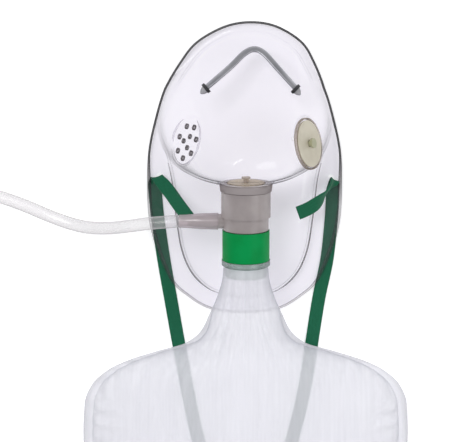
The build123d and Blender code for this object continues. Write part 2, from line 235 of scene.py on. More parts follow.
# Height, half width, and Y of the nose end and of the front.
DOME_LEVELS = np.array([(1.0, 40.5, 164.0, 95.0), (12.0, 36.6, 156.0, 95.4), (20.0, 32.4, 146.6, 96.0),
                        (30.0, 26.6, 134.6, 97.4), (38.0, 21.0, 125.4, 99.4), (44.0, 13.6, 118.0, 102.4),
                        (DOME_H, 5.0, 112.5, 106.0)])
# Distance in from the flange, and height.
BOWL_LEVELS = np.array([(0.0, 0.6), (0.45, 6.0), (3.4, 9.8), (8.0, BOWL_H), (20.0, BOWL_H + 0.5),
                        (60.0, BOWL_H + 0.6)])
SIDE_TILT = math.radians(60.0)


def side_normal(sign, turn):
    """Outward normal of a disc on the mask's left (-1) or right (+1) side wall."""
    turn = math.radians(turn)
    level = Vector((sign * math.cos(turn), math.sin(turn), 0))
    return level * math.sin(SIDE_TILT) + Vector((0, 0, math.cos(SIDE_TILT)))


VALVE_AT, VALVE_N = Vector((27.2, 116.5, 29.5)), side_normal(1, 13.0)
VENT_AT, VENT_N = Vector((-26.2, 117.5, 29.5)), side_normal(-1, 20.0)
VALVE_DISC_R, VENT_DISC_R = 11.6, 11.2


def lean(y):
    """How far the nose end stands to the right of the middle."""
    return 3.0 * np.maximum(0.0, (y - 138.0) / (TOP_Y - 138.0)) - 0.5


def slopes(xs, ys):
    """Slopes of a smooth curve through points that never overshoots them."""
    step = np.diff(ys) / np.diff(xs)
    before, after = step[:-1], step[1:]
    inner = np.where(before * after > 0, 2 * before * after / (before + after + 1e-12), 0.0)
    return np.concatenate([[step[0]], inner, [step[-1]]])


def through(xs, ys, x):
    """The smooth curve's value at x, held flat past its ends."""
    xs, ys = np.asarray(xs, float), np.asarray(ys, float)
    x = np.clip(x, xs[0], xs[-1])
    d = slopes(xs, ys)
    i = np.clip(np.searchsorted(xs, x) - 1, 0, len(xs) - 2)
    h = xs[i + 1] - xs[i]
    t = (x - xs[i]) / h
    return ((1 + 2 * t) * (1 - t) ** 2 * ys[i] + t * (1 - t) ** 2 * h * d[i]
            + t * t * (3 - 2 * t) * ys[i + 1] + t * t * (t - 1) * h * d[i + 1])


def closed_curve(points, per=20):
    """Many points on a smooth closed curve through the given ones."""
    p = np.asarray(points, float)
    before, after, next_after = np.roll(p, 1, 0), np.roll(p, -1, 0), np.roll(p, -2, 0)
    t = (np.arange(per) / per)[None, :, None]
    a, b, c, d = before[:, None], p[:, None], after[:, None], next_after[:, None]
    curve = 0.5 * (2 * b + (c - a) * t + (2 * a - 5 * b + 4 * c - d) * t ** 2
                   + (3 * b - a - 3 * c + d) * t ** 3)
    return curve.reshape(-1, p.shape[1])


def outline(half, top, chin):
    """A closed outline round the mask's middle line, before it leans."""
    left = [(-x, y) for x, y in reversed(half)]
    return closed_curve([(0, top), *half, (0, chin), *left])


def reach(curve, middle, angle):
    """How far the outline is from (0, middle) in each direction."""
    x, y = curve[:, 0], curve[:, 1] - middle
    around, far = np.arctan2(y, x), np.hypot(x, y)
    order = np.argsort(around)
    return np.interp(angle, around[order], far[order], period=2 * math.pi)


RIM_CURVE = outline(RIM_HALF, TOP_Y, CHIN_Y)
FOOT_CURVE = outline(FOOT_HALF, FOOT_TOP_Y, FOOT_CHIN_Y)
SECTION_CURVE = closed_curve([(0, 0), *SECTION_HALF, (0, 1),
                              *[(-x, f) for x, f in reversed(SECTION_HALF)]])
SECTION_RIGHT = SECTION_CURVE[:len(SECTION_CURVE) // 2 + 1]


def dome_height(x, y):
    """Height of the nose dome over each point, by halving."""
    z, w, top, front = DOME_LEVELS.T
    low, high = np.zeros_like(x), np.full_like(x, DOME_H)
    for _ in range(22):
        at = (low + high) / 2
        t, f = through(z, top, at), through(z, front, at)
        share = (t - y) / (t - f)
        wide = through(z, w, at) * np.interp(share, SECTION_RIGHT[:, 1], SECTION_RIGHT[:, 0])
        inside = (share > 0) & (share < 1) & (np.abs(x) < wide)
        low, high = np.where(inside, at, low), np.where(inside, high, at)
    return low


def bowl_height(x, y):
    """Height of the chin bowl over each point."""
    middle = (FOOT_TOP_Y + FOOT_CHIN_Y) / 2
    far, angle = np.hypot(x, y - middle), np.arctan2(y - middle, x)
    edge = reach(FOOT_CURVE, middle, angle)
    inset = (1 - far / edge) * 36.0
    return np.where(inset > 0, through(BOWL_LEVELS[:, 0], BOWL_LEVELS[:, 1], inset), 0.0)


def soft_max(a, b, k):
    """The larger of two heights, rounded over where they meet."""
    h = np.maximum(k - np.abs(a - b), 0) / k
    return np.maximum(a, b) + h * h * k / 4


def disc_height(x, y, at, normal):
    """Height of a side disc's plane, and how far each point of it is from the disc's centre."""
    z = at.z - (normal.x * (x - at.x) + normal.y * (y - at.y)) / normal.z
    far = np.sqrt((x - at.x) ** 2 + (y - at.y) ** 2 + (z - at.z) ** 2)
    return z, far


def mask_height(x, y):
    """Height of the mask's outer face."""
    straight = x - lean(y)
    body = soft_max(bowl_height(straight, y), dome_height(straight, y), 5.0)
    body = soft_max(body, np.full_like(x, RIM_H), 2.4)
    for at, normal, r in ((VALVE_AT, VALVE_N, VALVE_DISC_R), (VENT_AT, VENT_N, VENT_DISC_R)):
        z, far = disc_height(x, y, at, normal)
        mix = np.clip((r + 1.2 - far) / 1.6, 0, 1)
        mix = mix * mix * (3 - 2 * mix)
        body = body * (1 - mix) + z * mix
    return body


# ---------------------------------------------------------------- mesh helpers

def make_object(name, vertices, faces, smooth_faces=True):
    mesh = bpy.data.meshes.new(name)
    mesh.from_pydata([tuple(v) for v in vertices], [], [tuple(f) for f in faces])
    mesh.validate()
    if smooth_faces:
        mesh.shade_smooth()
    made = bpy.data.objects.new(name, mesh)
    collection.objects.link(made)
    return made


def applied(made):
    """Bakes an object's modifiers into its mesh."""
    graph = bpy.context.evaluated_depsgraph_get()
    mesh = bpy.data.meshes.new_from_object(made.evaluated_get(graph))
    made.modifiers.clear()
    made.data = mesh
    return made


def cut(made, cutters):
    """Takes the cutters away from an object."""
    for cutter in cutters:
        modifier = made.modifiers.new("cut", "BOOLEAN")
        modifier.object = cutter
        modifier.operation = "DIFFERENCE"
        modifier.solver = "MANIFOLD"
    applied(made)
    for cutter in cutters:
        bpy.data.objects.remove(cutter)


def rod(name, base, axis, r, length, sides=32):
    """Closed round bar from base along axis, in millimetres."""
    turn = Vector(axis).to_track_quat("Z", "Y")
    angles = [2 * math.pi * i / sides for i in range(sides)]
    ring = [(r * math.cos(a), r * math.sin(a)) for a in angles]
    vertices = [(Vector(base) + turn @ Vector((x, y, z))) * MM for z in (0, length) for x, y in ring]
    faces = [(i, (i + 1) % sides, sides + (i + 1) % sides, sides + i) for i in range(sides)]
    faces += [tuple(reversed(range(sides))), tuple(range(sides, 2 * sides))]
    return make_object(name, vertices, faces, False)


def around(at, normal, radius, count, start):
    """Points on a circle round a disc's centre, starting level."""
    level = Vector((-normal.y, normal.x, 0)).normalized()
    up = normal.cross(level)
    turns = [math.radians(start) + 2 * math.pi * i / count for i in range(count)]
    return [at + (level * math.cos(t) + up * math.sin(t)) * radius for t in turns]


# ---------------------------------------------------------------- mask shell

def as_mask(piece):
    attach(piece, "root")
    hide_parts("mask_shell")


def mask_body():
    """The dome, chin bowl and flange as one thin moulded wall."""
    n = 220
    a = np.linspace(-1, 1, n)
    u0, v0 = np.meshgrid(a, a)
    u, v = u0 * np.sqrt(1 - v0 ** 2 / 2), v0 * np.sqrt(1 - u0 ** 2 / 2)
    middle = (TOP_Y + CHIN_Y) / 2
    angle, share = np.arctan2(v, u), np.hypot(u, v)
    far = (reach(RIM_CURVE, middle, angle) - BEAD_R) * share
    x, y = far * np.cos(angle), middle + far * np.sin(angle)
    x = x + lean(y)
    z = mask_height(x, y)
    beside = z[:-2, 1:-1] + z[2:, 1:-1] + z[1:-1, :-2] + z[1:-1, 2:]
    z[1:-1, 1:-1] = 0.5 * z[1:-1, 1:-1] + 0.125 * beside
    points = np.stack([x, y, z], -1).reshape(-1, 3)
    faces = [(j * n + i, j * n + i + 1, (j + 1) * n + i + 1, (j + 1) * n + i)
             for j in range(n - 1) for i in range(n - 1)]
    shell = make_object("mask_body", points * MM, faces)
    solid = shell.modifiers.new("wall", "SOLIDIFY")
    solid.thickness = 1.0 * MM
    solid.offset = -1
    applied(shell)
    cutters = [rod("cut", (0, PORT_Y - 3, AXIS_Z), (0, 1, 0), PORT_HOLE_R, 12, 64)]
    cutters += [rod("cut", p - VALVE_N * 6, VALVE_N, 2.2, 10) for p in around(VALVE_AT, VALVE_N, 6.4, 6, 0)]
    cutters += [rod("cut", p - VENT_N * 6, VENT_N, r, 10) for p, r in vent_holes()]
    cutters += [ear_slot(*place) for place in EAR_SLOTS]
    cut(shell, cutters)
    shell.data.shade_smooth()
    as_mask(shell)
    return shell


def vent_holes():
    outer = [(p, 1.2) for p in around(VENT_AT, VENT_N, 7.4, 7, 12)]
    return outer + [(p, 1.1) for p in around(VENT_AT, VENT_N, 2.9, 3, 40)]


EAR_SLOTS = [(-41.3, 96.8, 45), (40.9, 95.9, -45)]


def ear_slot(x, y, lean_angle):
    """Block that cuts the slanted slot for the elastic through the flange."""
    along = Vector((math.sin(math.radians(lean_angle)), math.cos(math.radians(lean_angle)), 0))
    across = Vector((along.y, -along.x, 0))
    plan = [(-3.4, -0.9), (3.4, -0.9), (3.4, 0.9), (-3.4, 0.9)]
    corners = [Vector((x, y, 0)) + along * a + across * b for a, b in plan]
    vertices = [(corner + Vector((0, 0, z))) * MM for z in (0.5, 6.0) for corner in corners]
    faces = [(0, 1, 2, 3), (7, 6, 5, 4), (0, 4, 5, 1), (1, 5, 6, 2), (2, 6, 7, 3), (3, 7, 4, 0)]
    return make_object("cut", vertices, faces, False)


def foot_line():
    """Fine bead where the chin bowl rises out of the flange, coloured as painted shade: the dark line of
    that crease.
    """
    spots = [(x, y) for x, y in FOOT_CURVE if y < 104.0]
    line, radii = [], []
    for x, y in spots:
        straight = x + float(lean(y))
        line.append(Vector((straight, y, RIM_H + 0.15)) * MM)
        radius = through([42.0, 50.0, 80.0, 104.0], [0.08, 0.36, 0.30, 0.12], np.array([y]))[0]
        radii.append(float(radius) * MM)
    bead = swept("mask_foot_line", line, radii, sides=12)
    as_mask(bead)
    return bead


def mask_rim():
    """The rolled bead round the edge of the flange, thickest just below the ears."""
    middle = (TOP_Y + CHIN_Y) / 2
    line, radii = [], []
    for x, y in RIM_CURVE:
        radius = float(through([38.0, 75.0, 92.0, 108.0], [0.6, BEAD_R, 0.9, 0.5], np.array([y]))[0])
        far = math.hypot(x, y - middle)
        keep = (far - radius) / far
        at_y = middle + (y - middle) * keep
        line.append(Vector((x * keep + float(lean(at_y)), at_y, RIM_H - BEAD_R)) * MM)
        radii.append(radius * MM)
    rim = swept("mask_rim", line, radii, closed=True)
    as_mask(rim)
    return rim


def turned(name, profile, place, axis, sides=72, bevel=0.0):
    """A closed (radius, distance) profile turned round an axis, in millimetres."""
    turn = Vector(axis).to_track_quat("Z", "Y")
    vertices = []
    for k in range(sides):
        angle = 2 * math.pi * k / sides
        vertices += [(Vector(place) + turn @ Vector((r * math.cos(angle), r * math.sin(angle), h))) * MM
                     for r, h in profile]
    m = len(profile)
    faces = [(k * m + i, (k + 1) % sides * m + i, (k + 1) % sides * m + (i + 1) % m, k * m + (i + 1) % m)
             for k in range(sides) for i in range(m)]
    made = make_object(name, vertices, faces)
    if bevel:
        rounded = made.modifiers.new("edges", "BEVEL")
        rounded.width = bevel * MM
        rounded.segments = 3
        rounded.limit_method = "ANGLE"
        rounded.angle_limit = math.radians(30)
        applied(made)
    made.data.shade_smooth()
    made.data.set_sharp_from_angle(angle=math.radians(40))
    return made


def port_boss():
    """The thick moulded boss that the connector turns in."""
    profile = [(9.85, 0), (11.5, 0), (11.9, 3.2), (11.6, 3.2), (11.4, 2.2), (9.85, 2.2)]
    boss = turned("mask_port_boss", profile, (0, PORT_Y, AXIS_Z), (0, 1, 0), bevel=0.3)
    as_mask(boss)
    return boss


def vent_eyelets():
    """The small moulded collars of the vent's holes, coloured near black as painted shade of the holes."""
    made = []
    for k, (p, r) in enumerate(vent_holes()):
        profile = [(r - 0.35, -0.7), (r + 0.05, -0.7), (r + 0.1, 0.08), (r - 0.35, 0.15)]
        eyelet = turned(f"vent_eyelet_{k + 1}", profile, p, VENT_N, sides=24)
        as_mask(eyelet)
        made.append(eyelet)
    return made


def valve_rim():
    """The raised ring of the exhalation valve's disc."""
    profile = [(10.8, -0.6), (11.5, -0.6), (11.4, 0.8), (11.1, 0.9), (10.8, 0.5)]
    ring = turned("valve_disc_rim", profile, VALVE_AT, VALVE_N, bevel=0.15)
    as_mask(ring)
    return ring


# ---------------------------------------------------------------- ribbons: the elastic and the nose clip

def flow(points, per=10):
    """Many points on a smooth open line through the given rows of numbers."""
    p = np.asarray(points, float)
    p = np.concatenate([[2 * p[0] - p[1]], p, [2 * p[-1] - p[-2]]])
    rows = []
    for i in range(1, len(p) - 2):
        for k in range(per):
            t = k / per
            rows.append(0.5 * (2 * p[i] + (p[i + 1] - p[i - 1]) * t
                               + (2 * p[i - 1] - 5 * p[i] + 4 * p[i + 1] - p[i + 2]) * t ** 2
                               + (3 * p[i] - p[i - 1] - 3 * p[i + 1] + p[i + 2]) * t ** 3))
    rows.append(p[-2])
    return np.array(rows)


def ribbon(name, rows, width, thick, lanes=12, cords=0, per=10, crown=6):
    """A flat band. A row is a point, its width's direction, and its share of the full width if under 1."""
    rows = flow([row if len(row) == 7 else (*row, 1.0) for row in rows], per)
    centre, side = rows[:, :3], rows[:, 3:6]
    along = np.gradient(centre, axis=0)
    along /= np.linalg.norm(along, axis=1)[:, None]
    side = side - along * np.sum(side * along, axis=1)[:, None]
    side /= np.linalg.norm(side, axis=1)[:, None]
    up = np.cross(side, along)
    travelled = np.concatenate([[0], np.cumsum(np.linalg.norm(np.diff(centre, axis=0), axis=1))])
    share = np.linspace(-1, 1, lanes + 1)
    swell = thick / 2 * np.sqrt(1 - 0.55 * np.abs(share) ** crown)
    swell = swell + (0.07 * np.cos(share * math.pi * cords) if cords else 0)
    section = [(s * width / 2, h) for s, h in zip(share, swell)]
    section += [(s, -h) for s, h in reversed(section)]
    m = len(section)
    vertices = [(centre[i] + side[i] * s * rows[i, 6] + up[i] * h) * MM
                for i in range(len(rows)) for s, h in section]
    faces = [(i * m + k, i * m + (k + 1) % m, (i + 1) * m + (k + 1) % m, (i + 1) * m + k)
             for i in range(len(rows) - 1) for k in range(m)]
    faces += [tuple(reversed(range(m))), tuple(range((len(rows) - 1) * m, len(rows) * m))]
    band = make_object(name, vertices, faces)
    layer = band.data.uv_layers.new(name="band")
    for loop in band.data.loops:
        i, k = divmod(loop.vertex_index, m)
        layer.data[loop.index].uv = (travelled[i], section[k][0])
    return band


STRAP_W, STRAP_T = 6.2, 0.8
# Rows of each tail: a point, its width's direction, and its share of the full width.
LEFT_TAIL = [(-26.0, 80.6, 15.8, 0.75, 0.66, 0.05), (-30.6, 85.7, 10.8, 0.75, 0.66, 0.02),
             (-34.4, 90.2, 6.8, 0.75, 0.66, 0), (-37.4, 93.6, 5.0, 0.78, 0.62, 0),
             (-39.5, 95.9, 4.3, 0.87, 0.48, 0, 0.9), (-40.6, 97.0, 2.9, 0.94, 0.34, 0, 0.84),
             (-41.3, 96.4, 1.3, 0.98, 0.2, 0, 0.9), (-42.0, 94.0, 0.7, 1, 0.08, 0)]
RIGHT_TAIL = [(40.8, 92.8, 0.7, -1, 0.08, 0, 0.92), (41.0, 95.0, 1.3, -0.95, 0.28, 0.1, 0.8),
              (41.0, 95.6, 2.9, -0.85, 0.38, 0.35, 0.75), (40.2, 95.0, 4.6, -0.50, 0.40, 0.78, 0.8),
              (38.4, 92.9, 6.6, -0.16, 0.25, 0.96, 0.9), (36.4, 90.4, 8.8, -0.22, 0.20, 0.95),
              (34.0, 88.0, 10.8, -0.52, 0.55, 0.65), (31.0, 85.8, 12.5, -0.58, 0.79, 0.20),
              (27.6, 84.1, 13.8, -0.45, 0.88, 0.05), (23.7, 82.7, 15.0, -0.36, 0.93, 0)]
LEFT_SIDE = [(-42.0, 90.6), (-41.0, 78.0), (-38.4, 58.0), (-35.2, 38.0), (-32.3, 20.0), (-29.2, 2.0),
             (-26.4, -14.0), (-23.8, -27.0)]
RIGHT_SIDE = [(40.4, 89.6), (40.0, 78.0), (38.2, 58.0), (34.8, 40.0), (32.2, 22.0), (29.6, 2.0),
              (26.8, -14.0), (23.8, -27.0)]
STRAP_Z = 0.5


def elastic():
    """One band: a tail through the left ear, the loop for the head, and a tail through the right ear."""
    bend = [(22.6 * math.cos(t), -30.0 - 18.5 * math.sin(t)) for t in np.linspace(math.pi, 0, 9)[1:-1]]
    plan = [*LEFT_SIDE, *bend, *reversed(RIGHT_SIDE)]
    rows = list(LEFT_TAIL)
    for i, (x, y) in enumerate(plan):
        before, after = plan[max(i - 1, 0)], plan[min(i + 1, len(plan) - 1)]
        run = Vector((after[0] - before[0], after[1] - before[1])).normalized()
        rows.append((x, y, STRAP_Z, -run.y, run.x, 0))
    rows += RIGHT_TAIL
    band = ribbon("elastic_band", rows, STRAP_W, STRAP_T, cords=7)
    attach(band, "root")
    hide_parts("elastic_strap")
    return band


CLIP_PATH = [(-17.2, 140.0), (-6.7, 148.9), (-0.8, 154.4), (3.6, 156.2), (8.0, 154.4), (13.8, 148.2),
             (21.6, 139.6)]


def on_mask(x, y, lift):
    """A point on the mask's outer face, raised along its slope, and that slope's direction."""
    step = 0.4
    spots_x = np.array([x, x + step, x - step, x, x])
    spots_y = np.array([y, y, y, y + step, y - step])
    z = mask_height(spots_x, spots_y)
    slope = Vector((-(z[1] - z[2]) / (2 * step), -(z[3] - z[4]) / (2 * step), 1)).normalized()
    return Vector((x, y, float(z[0]))) + slope * lift, slope


def nose_clip():
    """Soft aluminium strip bent over the bridge of the nose."""
    plan = flow(CLIP_PATH, 4)
    rows = []
    for i, (x, y) in enumerate(plan):
        ahead = plan[min(i + 1, len(plan) - 1)] - plan[max(i - 1, 0)]
        place, slope = on_mask(x, y, 0.55)
        side = slope.cross(Vector((ahead[0], ahead[1], 0))).normalized()
        rows.append((*place, *side))
    clip = ribbon("nose_clip_strip", rows, 2.7, 1.2, lanes=10, per=4, crown=2)
    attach(clip, "root")
    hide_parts("nose_clip")
    return clip


def wedge(name, place, out, slope, shape):
    """A small moulded block on the mask: rows of (outward, sideways, height) points."""
    side = slope.cross(out)
    low = [(place + out * a + side * b - slope * 0.6) * MM for a, b, h in shape]
    high = [(place + out * a + side * b * 0.85 + slope * h) * MM for a, b, h in shape]
    m = len(shape)
    faces = [tuple(reversed(range(m))), tuple(range(m, 2 * m))]
    faces += [(k, (k + 1) % m, m + (k + 1) % m, m + k) for k in range(m)]
    block = make_object(name, low + high, faces)
    rounded = block.modifiers.new("edges", "BEVEL")
    rounded.width = 0.2 * MM
    rounded.segments = 2
    applied(block)
    block.data.shade_smooth()
    as_mask(block)
    return block


def clip_pockets():
    """Blocks at the strip's two ends: near-black mouths as painted shadow of the slots, and grey wedges as
    painted shade of the pockets that hold the ends.
    """
    slot_shadows, ramps = [], []
    ends = (("left", (-17.6, 139.8), (-0.72, -0.69)), ("right", (21.9, 139.2), (0.66, -0.75)))
    for name, (x, y), (dx, dy) in ends:
        place, slope = on_mask(x, y, 0.0)
        out = Vector((dx, dy, 0))
        out = (out - slope * out.dot(slope)).normalized()
        mouth = [(-0.8, -2.7, 1.4), (-0.8, 2.7, 1.4), (0.7, 2.5, 1.6), (0.7, -2.5, 1.6)]
        ramp = [(0.6, -1.9, 1.1), (0.6, 1.9, 1.1), (2.2, 1.4, 0.7), (3.4, 0.2, 0.2), (3.4, -0.2, 0.2),
                (2.2, -1.4, 0.7)]
        slot_shadows.append(wedge(f"clip_slot_shadow_{name}", place, out, slope, mouth))
        ramps.append(wedge(f"clip_ramp_{name}", place, out, slope, ramp))
    return slot_shadows, ramps


# ---------------------------------------------------------------- reservoir bag

BAG_END_Y = -168.4
BAG_TOP_Y = 60.6
SHOULDER_Y = 8.6
# Distance along Y, half width and half thickness, from the end to the neck.
BAG_SECTIONS = np.array([(BAG_END_Y, 71.5, 0.3), (-163.4, 72.5, 1.2), (-155, 73.8, 14), (-135, 74.6, 21.5),
                         (-105, 75, 24.6), (-80, 75, 24.4), (-45, 75, 22.8), (-20, 75, 21.2), (-4, 74, 19.6),
                         (4.5, 70.5, 18.2), (11.5, 63, 17.0), (16, 54, 16), (20.6, 40, 14.8),
                         (24.3, 27.5, 13.6), (30, 20.5, 12.5), (38.5, 16.3, 11.5), (46, 13.0, 11.0),
                         (55, 10.5, 10.2), (BAG_TOP_Y, 10.0, 10.0)])
SEAM = 4.2
FLAP = 0.12  # half thickness of the flat weld


def bag():
    """Two welded films, nearly full: gathered at the neck, with a flat weld all round."""
    neck = BAG_TOP_Y - (BAG_TOP_Y - SHOULDER_Y) * np.linspace(0, 1, 130)
    rest = SHOULDER_Y - (SHOULDER_Y - BAG_END_Y) * np.linspace(0, 1, 150)[1:]
    y = np.concatenate([neck, rest])
    wide = through(BAG_SECTIONS[:, 0], BAG_SECTIONS[:, 1], y)
    thick = through(BAG_SECTIONS[:, 0], BAG_SECTIONS[:, 2], y)
    weld = SEAM * np.clip((42.0 - y) / 20.0, 0, 1)
    lanes = 150
    share = np.sin(np.linspace(-1, 1, lanes + 1) * math.pi / 2)
    rings = []
    for at, a, b, seam in zip(y, wide, thick, weld):
        inner = a - seam
        x = inner * share
        fat = 0.5 + 0.2 * min(max((40.0 - at) / 40.0, 0), 1)
        rise = b * np.maximum(1 - share ** 2, 0) ** fat
        gather = fold_lines(x, at, np.abs(share))
        pucker = seam_puckers(x, at, inner)
        upper = np.maximum(rise + gather + pucker, FLAP)
        under_folds = 0.6 * fold_lines(x + 3.1, at, np.abs(share)) + seam_puckers(x + 1.7, at, inner)
        lower = np.maximum(rise * 0.985 + under_folds, FLAP)
        lower = np.minimum(lower, AXIS_Z - 0.2)
        front = [(-a, FLAP), *zip(x, upper), (a, FLAP)]
        back = [(a, FLAP), *zip(x[::-1], lower[::-1]), (-a, FLAP)]
        ring = [(px, at, AXIS_Z + pz) for px, pz in front] + [(px, at, AXIS_Z - pz) for px, pz in back]
        rings.append(ring)
    m = len(rings[0])
    vertices = [Vector(p) * MM for ring in rings for p in ring]
    faces = [(j * m + k, (j + 1) * m + k, (j + 1) * m + (k + 1) % m, j * m + (k + 1) % m)
             for j in range(len(rings) - 1) for k in range(m)]
    last = (len(rings) - 1) * m
    faces += [(last + k, last + m - 1 - k, last + m - 2 - k, last + k + 1) for k in range(m // 2 - 1)]
    film = make_object("reservoir_bag", vertices, faces)
    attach(film, "root")
    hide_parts("bag_front_film", "bag_back_film")
    return film


def fold_lines(x, y, share):
    """Lengthwise folds that fan out from the gathered neck and die away down the bag."""
    at = np.array([y])
    lane = through([-40.0, 10.0, 22.0, 38.0, 61.0], [36.0, 33.0, 26.0, 15.0, 9.6], at)[0]
    strength = through([-90.0, -20.0, 20.0, 45.0, 57.0, 61.0], [0.0, 0.8, 1.5, 1.2, 0.5, 0.0], at)[0]
    q = x / lane
    wander = 0.35 * np.sin(2.1 * q + 0.03 * y) + 0.12 * np.sin(0.11 * y + 5.0 * q)
    folds = np.abs(np.sin(6.3 * q + wander)) ** 0.7 * 0.9
    folds = folds + 0.35 * np.abs(np.sin(13.7 * q + 1.3 + 2 * wander))
    return strength * (folds - 0.8) * np.clip((1 - share) * 7, 0, 1) * np.exp(-(q / 1.7) ** 4)


def seam_puckers(x, y, inner):
    """Small gathers along the weld where the flat film has had to round itself."""
    near = np.exp(-((inner - np.abs(x)) / 7.0)) * np.clip((inner - np.abs(x)) / 1.5, 0, 1)
    run = np.where(y > 0, np.abs(x) * 1.1, 80.0 - y)
    wave = np.sin(run * 0.83 + 0.6 * np.sin(run * 0.21)) + 0.5 * np.sin(run * 0.47 + 1.0)
    return 0.75 * near * wave * np.clip((30.0 - y) / 20.0, 0, 1) * np.clip((y - BAG_END_Y) / 12.0, 0, 1)


# ---------------------------------------------------------------- materials

def material_nodes(name):
    material = bpy.data.materials.new(name)
    material.use_nodes = True
    tree = material.node_tree
    tree.nodes.clear()
    return material, tree


def node(tree, kind, **values):
    made = tree.nodes.new(kind)
    for key, value in values.items():
        setattr(made, key, value)
    return made


def math_node(tree, operation, a, b=None):
    made = node(tree, "ShaderNodeMath", operation=operation)
    for socket, value in zip(made.inputs, (a, b)):
        if isinstance(value, (int, float)):
            socket.default_value = value
        elif value is not None:
            tree.links.new(value, socket)
    return made.outputs[0]


def soft_bump(tree, scale, strength):
    """Gentle unevenness of a moulded surface."""
    place = node(tree, "ShaderNodeTexCoord")
    noise = node(tree, "ShaderNodeTexNoise")
    noise.inputs["Scale"].default_value = scale
    noise.inputs["Detail"].default_value = 3.0
    bump = node(tree, "ShaderNodeBump")
    bump.inputs["Strength"].default_value = strength
    bump.inputs["Distance"].default_value = 0.0004
    tree.links.new(place.outputs["Object"], noise.inputs["Vector"])
    tree.links.new(noise.outputs["Fac"], bump.inputs["Height"])
    return bump.outputs["Normal"]


def clear_material(name, haze, see, body, edge=1.0, edge_power=4.0, dark=(0.1, 0.1, 0.11), rough=0.12,
                   bump=0.1, gloss=1.0, streak=0.0, fade=None):
    """Thin clear plastic: see-through face on, with painted shade mixed in where it is seen edge on, and a
    gloss on top.
    """
    material, tree = material_nodes(name)
    output = node(tree, "ShaderNodeOutputMaterial")
    normal = soft_bump(tree, 140.0, bump)
    facing = node(tree, "ShaderNodeLayerWeight")
    facing.inputs["Blend"].default_value = 0.5
    tree.links.new(normal, facing.inputs["Normal"])
    clear = node(tree, "ShaderNodeBsdfTransparent")
    clear.inputs["Color"].default_value = (*see, 1)
    milky = node(tree, "ShaderNodeBsdfDiffuse")
    milky.inputs["Color"].default_value = (*body, 1)
    tree.links.new(normal, milky.inputs["Normal"])
    hazy = node(tree, "ShaderNodeMixShader")
    amount = haze
    if streak:
        amount = math_node(tree, "ADD", math_node(tree, "MULTIPLY", streaks(tree), streak), haze)
        tree.links.new(amount, hazy.inputs[0])
    else:
        hazy.inputs[0].default_value = haze
    tree.links.new(clear.outputs[0], hazy.inputs[1])
    tree.links.new(milky.outputs[0], hazy.inputs[2])
    # Painted shade: a dark diffuse colour mixed in by how steeply the surface is seen, standing in for the
    # dark edges that refraction gives real clear plastic.
    painted_edge_shade = node(tree, "ShaderNodeBsdfDiffuse")
    painted_edge_shade.inputs["Color"].default_value = (*dark, 1)
    steep = math_node(tree, "MULTIPLY", math_node(tree, "POWER", facing.outputs["Facing"], edge_power), edge)
    # The painted edge shade can be faded along the object's Y.
    if fade:
        steep = math_node(tree, "MULTIPLY", steep, along_object(tree, *fade))
    edged = node(tree, "ShaderNodeMixShader")
    tree.links.new(steep, edged.inputs[0])
    tree.links.new(hazy.outputs[0], edged.inputs[1])
    tree.links.new(painted_edge_shade.outputs[0], edged.inputs[2])
    shine = node(tree, "ShaderNodeBsdfGlossy")
    shine.inputs["Roughness"].default_value = rough
    shine.inputs["Color"].default_value = (1, 1, 1, 1)
    tree.links.new(normal, shine.inputs["Normal"])
    mirror = math_node(tree, "POWER", facing.outputs["Facing"], 5.0)
    share = math_node(tree, "ADD", math_node(tree, "MULTIPLY", mirror, 0.25 * gloss), 0.03 * gloss)
    surface = node(tree, "ShaderNodeMixShader")
    tree.links.new(share, surface.inputs[0])
    tree.links.new(edged.outputs[0], surface.inputs[1])
    tree.links.new(shine.outputs[0], surface.inputs[2])
    tree.links.new(surface.outputs[0], output.inputs["Surface"])
    return material


def along_object(tree, low_y, high_y, least):
    """Rises from least to 1 between two distances along the object."""
    place = node(tree, "ShaderNodeTexCoord")
    split = node(tree, "ShaderNodeSeparateXYZ")
    rise = node(tree, "ShaderNodeMapRange")
    rise.inputs["From Min"].default_value = low_y
    rise.inputs["From Max"].default_value = high_y
    rise.inputs["To Min"].default_value = least
    tree.links.new(place.outputs["Object"], split.inputs[0])
    tree.links.new(split.outputs["Y"], rise.inputs["Value"])
    return rise.outputs[0]


def streaks(tree):
    """Soft lengthwise streaks of a drawn film."""
    place = node(tree, "ShaderNodeTexCoord")
    stretch = node(tree, "ShaderNodeMapping")
    stretch.inputs["Scale"].default_value = (260.0, 12.0, 60.0)
    noise = node(tree, "ShaderNodeTexNoise")
    noise.inputs["Scale"].default_value = 1.0
    noise.inputs["Detail"].default_value = 2.0
    tree.links.new(place.outputs["Object"], stretch.inputs["Vector"])
    tree.links.new(stretch.outputs[0], noise.inputs["Vector"])
    return noise.outputs["Fac"]


def mottled(tree, low, high, scale):
    """A colour that drifts between two close tones over the surface."""
    place = node(tree, "ShaderNodeTexCoord")
    noise = node(tree, "ShaderNodeTexNoise")
    noise.inputs["Scale"].default_value = scale
    noise.inputs["Detail"].default_value = 3.0
    ramp = node(tree, "ShaderNodeValToRGB")
    ramp.color_ramp.elements[0].position, ramp.color_ramp.elements[1].position = 0.35, 0.65
    ramp.color_ramp.elements[0].color, ramp.color_ramp.elements[1].color = (*low, 1), (*high, 1)
    tree.links.new(place.outputs["Object"], noise.inputs["Vector"])
    tree.links.new(noise.outputs["Fac"], ramp.inputs["Fac"])
    return ramp.outputs["Color"]


